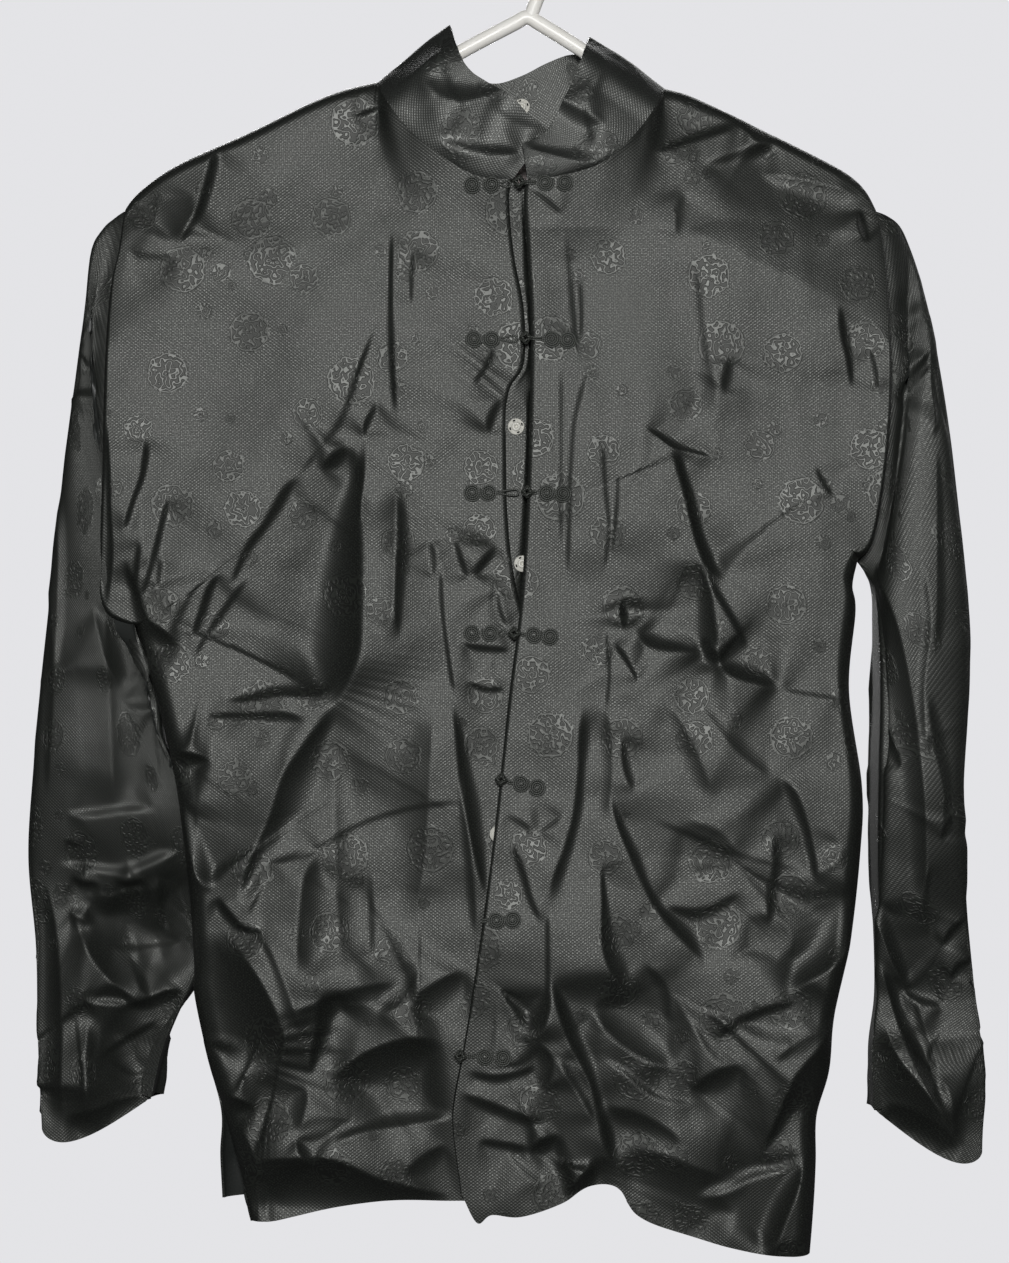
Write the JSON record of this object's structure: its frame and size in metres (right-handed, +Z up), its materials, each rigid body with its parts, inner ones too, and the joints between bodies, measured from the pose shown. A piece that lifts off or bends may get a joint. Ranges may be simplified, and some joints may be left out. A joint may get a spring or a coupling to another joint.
{
  "type": "tang jacket on hanger",
  "caption": "Long-sleeved tang jacket in black jacquard satin, stand collar, coiled frog closures and side vents, hung on a white tubular hanger.",
  "frame": {"origin": "inner top of the hanger's hook, where a rail carries it", "axes": "+Z up, -Y out of the jacket's front, +X to the wearer's left"},
  "size_m": [0.6, 0.093, 0.8426],
  "materials": {
    "satin": "black jacquard satin with tone-on-tone roundels",
    "cord": "black bias-tube cord, coiled and stitched",
    "label": "blank pinkish-white woven tape",
    "stud": "clear moulded press stud",
    "hanger": "white moulded polypropylene"
  },
  "bodies": {
    "root": {"front_left": "satin", "front_right": "satin", "back": "satin", "sleeve_left": "satin", "sleeve_right": "satin", "collar": "satin", "underlap": "satin", "neck_label": "label", "frog_knot_1": "cord", "frog_knot_2": "cord", "frog_knot_3": "cord", "frog_knot_4": "cord", "frog_knot_5": "cord", "frog_knot_6": "cord", "frog_knot_7": "cord", "frog_loop_1": "cord", "frog_loop_2": "cord", "frog_loop_3": "cord", "frog_loop_4": "cord", "frog_loop_5": "cord", "frog_loop_6": "cord", "frog_loop_7": "cord", "stud_1": "stud", "stud_2": "stud", "stud_3": "stud", "stud_collar": "stud", "hanger": "hanger"}
  },
  "joints": []
}
